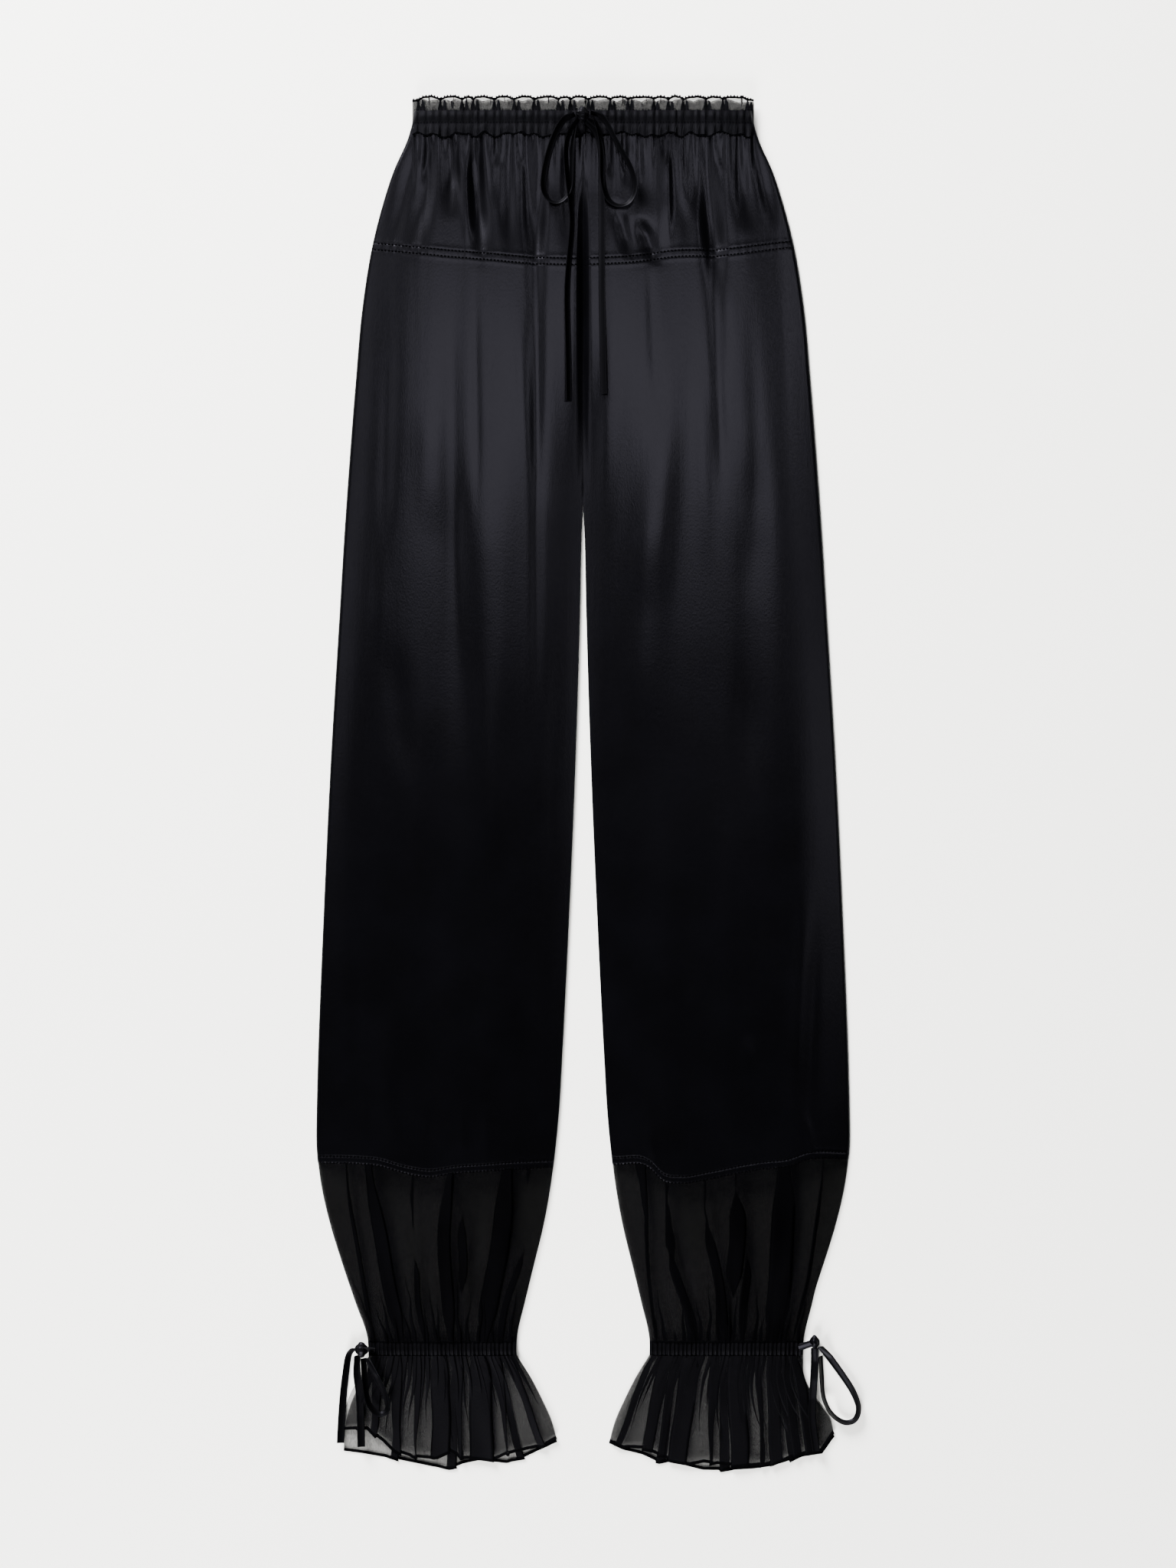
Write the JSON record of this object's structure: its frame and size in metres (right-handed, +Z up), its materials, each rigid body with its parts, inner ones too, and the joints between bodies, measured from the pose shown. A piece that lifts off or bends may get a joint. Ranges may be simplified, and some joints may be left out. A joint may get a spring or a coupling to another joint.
{
  "type": "balloon pants",
  "caption": "Black satin balloon trousers laid flat, with a gathered drawstring waist, a low seamed yoke, and sheer gathered ankle panels that end in tied ruffles.",
  "frame": {"origin": "centre of the underside of the garment as it lies on a surface, without its free ribbons", "axes": "+Z up from the surface, +Y towards the waist, +X towards the wearer's left leg"},
  "size_m": [0.4279, 1.08, 0.0161],
  "materials": {
    "satin": "black satin with a broad soft sheen",
    "chiffon": "sheer black chiffon, matt",
    "crepe": "sheer black crepe, matt",
    "ribbon": "black satin ribbon"
  },
  "bodies": {
    "root": {"yoke_front_right": "satin", "yoke_back_right": "satin", "leg_front_right": "satin", "leg_back_right": "satin", "ankle_front_right": "chiffon", "ankle_back_right": "chiffon", "casing_front_right": "chiffon", "casing_back_right": "chiffon", "ruffle_front_right": "chiffon", "ruffle_back_right": "chiffon", "yoke_front_left": "satin", "yoke_back_left": "satin", "leg_front_left": "satin", "leg_back_left": "satin", "ankle_front_left": "chiffon", "ankle_back_left": "chiffon", "casing_front_left": "chiffon", "casing_back_left": "chiffon", "ruffle_front_left": "chiffon", "ruffle_back_left": "chiffon", "waist_strip_front": "crepe", "waist_strip_back": "crepe", "waist_knot": "ribbon", "waist_loop_right": "ribbon", "waist_loop_left": "ribbon", "waist_tail_right": "ribbon", "waist_tail_left": "ribbon", "ankle_knot_right": "ribbon", "ankle_knot_left": "ribbon", "ankle_tail_right": "ribbon", "ankle_tail_back_right": "ribbon", "ankle_loop_right": "ribbon", "ankle_strand_left": "ribbon", "ankle_tail_left": "ribbon", "ankle_loop_left": "ribbon"}
  },
  "joints": []
}
